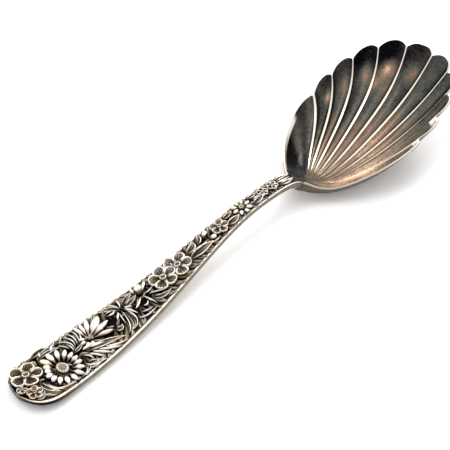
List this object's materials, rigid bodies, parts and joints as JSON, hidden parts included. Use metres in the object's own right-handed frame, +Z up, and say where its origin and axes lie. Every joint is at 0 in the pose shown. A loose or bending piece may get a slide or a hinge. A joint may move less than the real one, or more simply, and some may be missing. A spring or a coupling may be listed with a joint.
{
  "type": "sugar spoon",
  "caption": "Silver sugar spoon with a fluted, scalloped shell bowl and an arched, tapering handle covered with applied flowers and leaves.",
  "frame": {"origin": "on the table, under the middle of the spoon's box", "axes": "+Y from the handle's end to the bowl's tip, +Z up from the table, +X to the right seen from the handle's end"},
  "size_m": [0.0414, 0.155, 0.0219],
  "materials": {
    "bowl_silver": "polished",
    "handle_silver": "polished with a dark oxidised ground",
    "leaf_silver": "polished with dark oxidised recesses",
    "flower_silver": "bright polished"
  },
  "bodies": {
    "root": {"bowl": "bowl_silver", "handle": "handle_silver", "tip_blossom": "leaf_silver", "border_blossoms": "leaf_silver", "great_daisy": "flower_silver", "great_daisy_eye": "leaf_silver", "edge_acanthus": "leaf_silver", "half_daisy": "flower_silver", "feather_leaves": "leaf_silver", "long_acanthus": "leaf_silver", "crossing_leaves": "leaf_silver", "bellflower": "flower_silver", "side_bud": "leaf_silver", "lower_blossom": "flower_silver", "upper_blossom": "flower_silver", "stem_leaves": "leaf_silver", "stem_buds": "flower_silver", "small_blossom": "flower_silver", "leaf_pairs": "leaf_silver", "star_daisy": "flower_silver", "neck_blossoms": "leaf_silver", "neck_leaves": "leaf_silver"}
  },
  "joints": []
}
